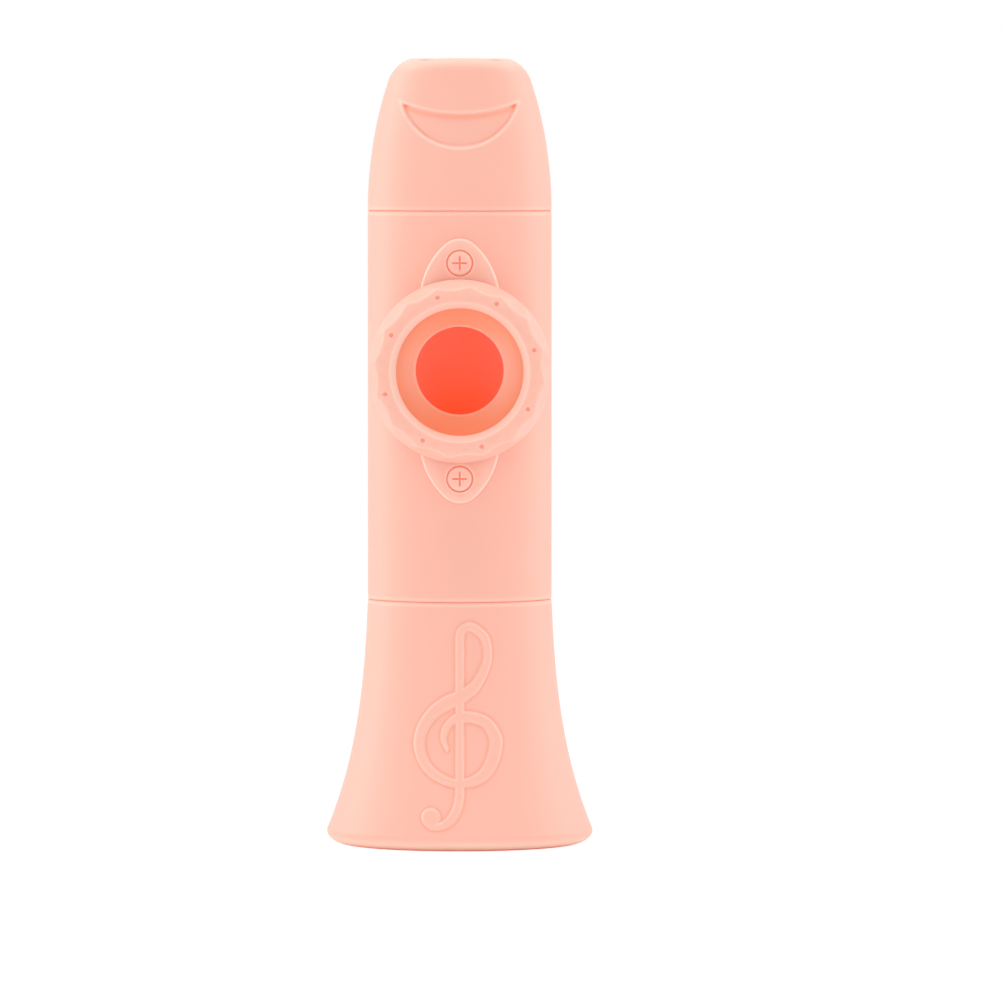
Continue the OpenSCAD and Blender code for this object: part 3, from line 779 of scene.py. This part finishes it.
        # Painted light: highlights along the crescent's rims and on the top lips, a painted shadow under the
        # crescent's upper edge, and painted shade in its corners and along its lower wall
        def painted_shading(p):
            x, y, z = np.abs(p[:, 0]), p[:, 1], p[:, 2]
            out = np.hypot(x, y)
            lower, upper = crescent(x, z)
            pale = np.maximum(0.5 * hill(lower, 0.2, 0.2) * (upper < 0.2),
                              0.36 * hill(upper, 0.24, 0.17) * (lower < 0.3))
            inner = (lower < 0) * (upper < 0)
            shadow = 0.28 * hill(upper, -0.5, 0.32) + 0.45 * hill(lower, -0.15, 0.15) * smooth_step(0, 6, x)
            corner = 0.9 * hill(np.hypot(x - 7.4, z - top + 6.5), 0, 0.5)
            shade = (y < slot_y + 2) * (pale - inner * np.maximum(shadow, corner))
            lip_highlight = (np.hypot(np.maximum(x - slot_run, 0), y - slot_y) > slot_half + 0.01) * (out > 3)
            shade += 0.3 * lip_highlight * smooth_step(top - 2.0, top - 0.3, z)
            return shade + painted_seam_shading(z, seam) * (out > SKIN_R)

        finish_piece(piece, "body", ["mouthpiece"], plastic("body"), painted_shading, 50, False)
        return {"FINISHED"}


def ear_outline(inset):
    """Outline of the plate with its two ears as (right, up), brought in by the inset."""
    half_w, side_r, tip_r = 5.48, 10.6, 3.05
    tip_y = PLATE_REACH - tip_r
    side_x = side_r - half_w
    side_y = tip_y - math.sqrt((side_r - tip_r) ** 2 - side_x ** 2)
    touch = math.asin((tip_y - side_y) / (side_r - tip_r))
    upper = []
    for x, y, r, angles in (
            (-side_x, side_y, side_r - inset, np.linspace(0, touch, 22)),
            (0.0, tip_y, tip_r - inset, np.linspace(touch, math.pi - touch, 26)[1:-1]),
            (side_x, side_y, side_r - inset, np.linspace(math.pi - touch, math.pi, 22))):
        upper += [(x + r * math.cos(a), y + r * math.sin(a)) for a in angles]
    upper = np.array(upper)
    return np.concatenate([upper, -upper])


class KAZOO_OT_turret(bpy.types.Operator):
    """Build the turret's plate, with its ears, its neck, its well and its thread"""

    bl_idname = "kazoo.turret"
    bl_label = "Turret plate"

    def execute(self, context):
        edge = context.scene.kazoo_sizes.plate_edge / MM
        face = TUBE.radius + 0.95
        layers = [(0.0, 6.0), (0.0, face - edge)]
        layers += [(edge * (1 - math.cos(a)), face - edge * (1 - math.sin(a)))
                   for a in np.radians(np.linspace(0, 90, 7)[1:])]
        plate = stack_object("TurretPlate", [at_level(ear_outline(inset), out) for inset, out in layers])
        neck_r, hole_r, sleeve_r = 9.9, 6.0, 8.0
        mouth = PLATE.front
        neck = rounded([(0, 8.0), (neck_r, 8.0), (neck_r, mouth, 0.15), (0, mouth)], 3)
        carve(plate, turned_object("NeckTool", neck), "UNION")
        # A small turn keeps the tube's edges clear of the turret's own, which the cuts need
        angles = round_angles(256) + 0.005
        ends = TURRET_Z - 30, TURRET_Z + 30
        carve(plate, grid_object("TubeTool", around(np.array(rod(TUBE.radius, *ends), float), angles)))
        carve(plate, turned_object("SleeveTool", rod(sleeve_r, 4.0, face - 0.3)), "UNION")
        carve(plate, grid_object("BoreTool", around(np.array(rod(BORE_R, *ends), float), angles)))
        throat = face + 0.25
        back = throat - 2.8
        well = rounded([
            (0, 0), (hole_r, 0), (hole_r, back, 0.35), (hole_r + 0.35, back + 0.34),
            (hole_r + 0.6, back + 0.58), (WELL_R, throat, 0.3), (WELL_R, mouth, 0.12),
            (WELL_R + 1, mouth + 1), (0, mouth + 1)], 5)
        carve(plate, turned_object("WellTool", well))
        seat_r = 1.85
        seat = rounded([
            (0, 6), (SHANK_HOLE_R, 6), (SHANK_HOLE_R, face - 0.5), (seat_r - 0.05, face - 0.5),
            (seat_r - 0.05, face - 0.2), (seat_r, face - 0.16), (seat_r, face, 0.06),
            (seat_r + 1, face + 1), (0, face + 1)], 4)
        carve_screw_holes(plate, seat, 64)
        carve(plate, thread(neck_r, neck_r + 0.55, CAP.back + 0.55), "UNION")

        def painted_shading(p):
            y, up = p[:, 1], p[:, 2] - TURRET_Z
            across = np.hypot(p[:, 0], up)
            screw = np.hypot(p[:, 0], np.abs(up) - SCREW_UP)
            low = face + y
            # Painted light on the ears' faces, lifting the shade from the cap, and painted shade in the
            # screws' seats
            ears = (across > neck_r + 0.3) * (screw > 2.3) * (np.abs(low) < 0.8)
            shade = ears * (0.24 + 0.36 * smooth_step(0.02, 0.12, low)) * smooth_step(0.8, 0.5, low)
            shade -= 0.3 * (screw < 2.0) * (low > 0.07) * (low < 1.0)
            # Painted light: the well is painted paler to its sides than above and below, with a painted
            # highlight round the hole and painted shade above and below its outer edge
            rise, side = up / across, p[:, 0] / across
            corner = (0.6 + 0.25 * side ** 2) * hill(across, hole_r + 0.1, 0.16)
            shade += corner * (np.abs(back + 0.1 + y) < 0.4)
            cone = (across > hole_r + 0.3) * (across < WELL_R + 0.02) * (low > 0.1) * (y < 0)
            shade += cone * (0.58 * side ** 2 + 0.1 * side - 0.18)
            well_rim_shade = (np.abs(across - WELL_R + 0.15) < 0.2) * (np.abs(y + throat) < 0.4)
            return shade - well_rim_shade * 0.38 * np.abs(rise) * (1 - 0.3 * side)

        finish_piece(plate, "body", ["turret_plate"], plastic("cap"), painted_shading)
        return {"FINISHED"}


class KAZOO_OT_screws(bpy.types.Operator):
    """Build the two small cross-head screws in the ears"""

    bl_idname = "kazoo.screws"
    bl_label = "Screws"

    def execute(self, context):
        face, tip = SCREW.front, SCREW.back
        # A shallow groove runs round the head, down to a shoulder
        head = SCREW.radius - 0.17
        shoulder, foot, shank_r = head + 0.14, face - 0.48, 0.8
        w, l = 0.13, 1.0
        cross = [(w, w), (l, w), (l, -w), (w, -w), (w, -l), (-w, -l), (-w, -w), (-l, -w),
                 (-l, w), (-w, w), (-w, l), (w, l)]
        line = rounded([
            (0, tip), (shank_r, tip, 0.2), (shank_r, foot, 0.05), (shoulder, foot, 0.02),
            (shoulder, face - 0.2, 0.02), (head, face - 0.18, 0.02), (head, face, 0.1), (0, face)], 5)
        for name, cad, side in (("UpperScrew", "upper_screw", 1), ("LowerScrew", "lower_screw", -1)):
            centre = (0, side * SCREW_UP)
            screw = turned_object(name, line, 64, centre)
            slots = rounded([(x, y + centre[1], 0.03) for x, y in cross], 2)
            carve(screw, stack_object("CrossTool", [at_level(slots, face + out) for out in (-0.3, 1)]))

            # Painted highlight round the head's edge, and painted shade in the cross and the groove
            def painted_shading(p):
                across = np.hypot(p[:, 0], p[:, 2] - TURRET_Z - side * SCREW_UP)
                low = face + p[:, 1]
                return (0.4 * hill(across, head - 0.08, 0.08) * (low < 0.14)
                        - 0.5 * (low > 0.1) * (across < 1.2) - 0.5 * (low > 0.14) * (across > 1.2))

            finish_piece(screw, "body", [cad], plastic("cap"), painted_shading)
        return {"FINISHED"}


class KAZOO_OT_diaphragm(bpy.types.Operator):
    """Build the thin film and the ring that holds it in the cap"""

    bl_idname = "kazoo.diaphragm"
    bl_label = "Membrane and ring"

    def execute(self, context):
        bore = 8.97
        line = rounded([(r, out, 0.12) for r, out in (
            (bore, RING.back), (RING.radius, RING.back), (RING.radius, RING.front), (bore, RING.front))], 4)
        ring = turned_object("MembraneRing", line, 160)
        finish_piece(ring, "diaphragm", ["membrane_ring"], plastic("cap"))
        # The film is a little slack, and still near its edge
        half_t, wave = 0.012, 0.012
        middle = (FILM.back + FILM.front) / 2
        radii = np.linspace(0, FILM.radius, 26)
        a = round_angles(96)
        calm = np.clip((8.6 - radii) / 4, 0, 1)[:, None]
        ripple = wave * calm * (np.sin(3 * a + 0.4) * np.sin(radii[:, None] * 0.9)
                                + 0.4 * np.sin(7 * a + radii[:, None]))
        sheets = []
        for side, order in ((half_t, slice(None)), (-half_t, slice(None, None, -1))):
            r = radii[order][:, None]
            sheets.append(np.stack([r * np.cos(a), r * np.sin(a), middle + side + ripple[order]], axis=-1))
        points = np.concatenate(sheets)
        points[0, :, 2] = middle + half_t
        points[-1, :, 2] = middle - half_t
        film = grid_object("Membrane", turret(points))
        finish_piece(film, "diaphragm", ["membrane"], film_material(), weighted=False)
        return {"FINISHED"}


class KAZOO_OT_cap(bpy.types.Operator):
    """Build the lobed screw cap with its dimples, its bevelled opening and its thread"""

    bl_idname = "kazoo.cap"
    bl_label = "Cap"

    def execute(self, context):
        edge = context.scene.kazoo_sizes.cap_edge / MM
        foot, face = CAP.back, CAP.front
        face_r = CAP.radius - 0.8
        straight = foot + 0.6
        foot_edge = 0.12
        count = 384
        lobes, first = 16, math.radians(26.75)
        flute_r, flute_in = 7.6, 0.0625
        a = round_angles(count)
        pitch = TURN / lobes
        off = (a - first + pitch / 2) % pitch - pitch / 2

        def side(out):
            """Radius of the cap's side all round, at a place along the turret's axis."""
            share = np.clip((out - straight) / (face - straight), 0, 1)
            cone = CAP.radius + (face_r - CAP.radius) * share
            centre = CAP.radius + flute_in + flute_r + (face_r - 0.5 - CAP.radius - flute_in) * share
            hollow = centre * np.cos(off) - np.sqrt(flute_r ** 2 - (centre * np.sin(off)) ** 2)
            soft = 0.12
            mix = np.clip(0.5 + 0.5 * (hollow - cone) / soft, 0, 1)
            return hollow + (cone - hollow) * mix - soft * mix * (1 - mix)

        rows = []

        def row(r, out):
            rows.append(np.column_stack([r * np.cos(a), r * np.sin(a), np.full(count, out)]))

        for k in range(4):
            t = math.radians(90 * k / 4)
            row(side(foot + foot_edge) - foot_edge * (1 - math.sin(t)), foot + foot_edge * (1 - math.cos(t)))
        for out in np.concatenate([[foot + foot_edge], np.linspace(straight, face - edge, 24)]):
            row(side(out), out)
        for k in range(1, 7):
            t = math.radians(90 * k / 6)
            out = face - edge + edge * math.sin(t)
            row(side(out) - edge * (1 - math.cos(t)), out)
        bevel, hole, wall, lip = 9.6, 8.65, 10.65, face - 1.7
        outer = side(face) - edge
        for t in (0.35, 0.7):
            row(outer + (bevel + 0.08 - outer) * t, face)
        inside = rounded([
            (bevel + 0.5, face), (bevel, face, 0.08), (hole, face - 0.95, 0.08), (hole, lip, 0.12),
            (wall, lip, 0.1), (wall, foot, 0.15), (wall + 0.6, foot)], 4)
        for r, out in inside[1:-1]:
            row(r, out)
        cap = grid_object("Cap", turret(np.array(rows)))
        dimple_r = 10.54
        pit = rounded([
            (0, face - 0.3), (0.2, face - 0.25, 0.06), (0.3, face - 0.06, 0.06), (0.4, face + 0.05),
            (0.4, face + 0.3), (0, face + 0.3)], 3)
        for k in range(8):
            t = math.radians(16.5 + 45 * k)
            centre = (dimple_r * math.cos(t), dimple_r * math.sin(t))
            carve(cap, turned_object("PitTool", pit, 24, centre))
        carve(cap, thread(wall, wall - 0.55, foot + 0.55, 180.0), "UNION")

        # Painted light: highlights on the bevel, stronger to its sides, and on the outer edge, stronger
        # above and below, and painted shade in the dimples
        def painted_shading(p):
            up = p[:, 2] - TURRET_Z
            across = np.hypot(p[:, 0], up)
            low = face + p[:, 1]
            slope = 0.2 + 0.28 * smooth_step(hole, bevel, across) + 0.2 * (p[:, 0] / across) ** 2
            slope *= (across < bevel + 0.02) * (across > hole - 0.1) * (low < 1.1) * (low > 0.02)
            ends = 0.14 * smooth_step(8, 12, np.abs(up)) * (low > 0.05)
            rim = (across > face_r - 1.2) * (0.22 * hill(low, 0.12, 0.12) + ends)
            dimple_shade = 0.4 * (np.abs(across - dimple_r) < 0.4) * (low > 0.15) * (low < 0.4)
            return slope + rim - dimple_shade

        finish_piece(cap, "cap", ["cap"], plastic("cap"), painted_shading)
        return {"FINISHED"}


def panel_light(name, azimuth, elevation, distance, width, height, power):
    """A soft panel that faces the middle of the kazoo. Azimuth 0 is in front and 90 on the right."""
    lamp = bpy.data.lights.new(name, "AREA")
    lamp.shape = "RECTANGLE"
    lamp.size = width
    lamp.size_y = height
    lamp.energy = power
    obj = add_object(name, lamp)
    a, e = math.radians(azimuth), math.radians(elevation)
    target = Vector((0, 0, TOP * MM / 2))
    away = Vector((math.sin(a) * math.cos(e), -math.cos(a) * math.cos(e), math.sin(e)))
    obj.location = target + away * distance
    obj.rotation_euler = away.to_track_quat("Z", "Y").to_euler()


def floor_material():
    """A pale floor that is white to the camera and keeps a little of the shadow."""
    material, made = fresh_material("Pale floor")
    paint = made.add("ShaderNodeBsdfDiffuse", {"Color": (0.96, 0.96, 0.96, 1.0)}).outputs["BSDF"]
    glow = made.add("ShaderNodeEmission", {"Color": (1.0, 1.0, 1.0, 1.0), "Strength": 1.06})
    seen = made.add("ShaderNodeLightPath").outputs["Is Camera Ray"]
    much = made.math("MULTIPLY", seen, 0.9)
    made.either(much, paint, glow.outputs["Emission"], "ShaderNodeOutputMaterial")
    return material


def add_surroundings(scene, ambient):
    """Soft light from all round, which the camera and reflections see as white."""
    scene.world = bpy.data.worlds.new("Studio")
    scene.world.use_nodes = True
    made = Nodes(scene.world.node_tree)
    white = (1.0, 1.0, 1.0, 1.0)
    soft = made.add("ShaderNodeBackground", {"Color": white, "Strength": ambient})
    bright = made.add("ShaderNodeBackground", {"Color": white})
    seen = made.add("ShaderNodeLightPath").outputs
    shown = made.math("MAXIMUM", seen["Is Camera Ray"], seen["Is Glossy Ray"])
    made.either(shown, soft.outputs["Background"], bright.outputs["Background"], "ShaderNodeOutputWorld")


def add_camera(scene):
    lens = bpy.data.cameras.new("Camera")
    lens.lens = 335.4
    lens.sensor_width = 36.0
    lens.clip_end = 20.0
    obj = add_object("Camera", lens)
    obj.location = (0.0, -1.2848, 0.09599)
    obj.rotation_euler = (math.radians(90 - 2.1755), 0.0, math.radians(-0.2535))
    scene.camera = obj


class KAZOO_OT_stage(bpy.types.Operator):
    """Set out the floor, the lights, the surroundings and the camera"""

    bl_idname = "kazoo.stage"
    bl_label = "Studio"

    def execute(self, context):
        scene = context.scene
        lights = scene.kazoo_lights
        floor = mesh_object("Floor", [(-3, -3, 0), (3, -3, 0), (3, 3, 0), (-3, 3, 0)], [[0, 1, 2, 3]])
        floor.data.materials.append(floor_material())
        panel_light("LeftPanel", -108, 12, 0.7, 0.5, 0.9, lights.left)
        panel_light("RightPanel", 108, 12, 0.7, 0.5, 0.9, lights.right)
        panel_light("TopPanel", 0, 84, 0.7, 0.8, 0.5, lights.top)
        panel_light("FrontFill", -8, 14, 0.9, 1.0, 0.8, lights.front)
        add_surroundings(scene, lights.ambient)
        add_camera(scene)
        scene.view_settings.view_transform = "Standard"
        scene.cycles.max_bounces = 16
        scene.cycles.diffuse_bounces = 12
        scene.cycles.transparent_max_bounces = 12
        return {"FINISHED"}


class KAZOO_PT_panel(bpy.types.Panel):
    """Panel that builds the kazoo piece by piece"""

    bl_idname = "KAZOO_PT_panel"
    bl_label = "Kazoo"
    bl_space_type = "VIEW_3D"
    bl_region_type = "UI"
    bl_category = "Kazoo"

    def draw(self, context):
        scene = context.scene
        for group in (scene.kazoo_sizes, scene.kazoo_finish, scene.kazoo_lights):
            box = self.layout.box()
            for name in group.__annotations__:
                box.prop(group, name)
        for operator in OPERATORS:
            self.layout.operator(operator.bl_idname)


OPERATORS = (
    KAZOO_OT_tube, KAZOO_OT_bell, KAZOO_OT_mouthpiece, KAZOO_OT_turret, KAZOO_OT_screws,
    KAZOO_OT_diaphragm, KAZOO_OT_cap, KAZOO_OT_stage,
)
GROUPS = (KazooSizes, KazooFinish, KazooLights)


def register():
    for cls in GROUPS + OPERATORS + (KAZOO_PT_panel,):
        bpy.utils.register_class(cls)
    bpy.types.Scene.kazoo_sizes = bpy.props.PointerProperty(type=KazooSizes)
    bpy.types.Scene.kazoo_finish = bpy.props.PointerProperty(type=KazooFinish)
    bpy.types.Scene.kazoo_lights = bpy.props.PointerProperty(type=KazooLights)


def unregister():
    del bpy.types.Scene.kazoo_lights
    del bpy.types.Scene.kazoo_finish
    del bpy.types.Scene.kazoo_sizes
    for cls in reversed(GROUPS + OPERATORS + (KAZOO_PT_panel,)):
        bpy.utils.unregister_class(cls)


def main():
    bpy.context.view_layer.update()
    register()
    bpy.ops.kazoo.tube()
    bpy.ops.kazoo.bell()
    bpy.ops.kazoo.mouthpiece()
    bpy.ops.kazoo.turret()
    bpy.ops.kazoo.screws()
    bpy.ops.kazoo.diaphragm()
    bpy.ops.kazoo.cap()
    bpy.ops.kazoo.stage()


if __name__ == "__main__":
    main()
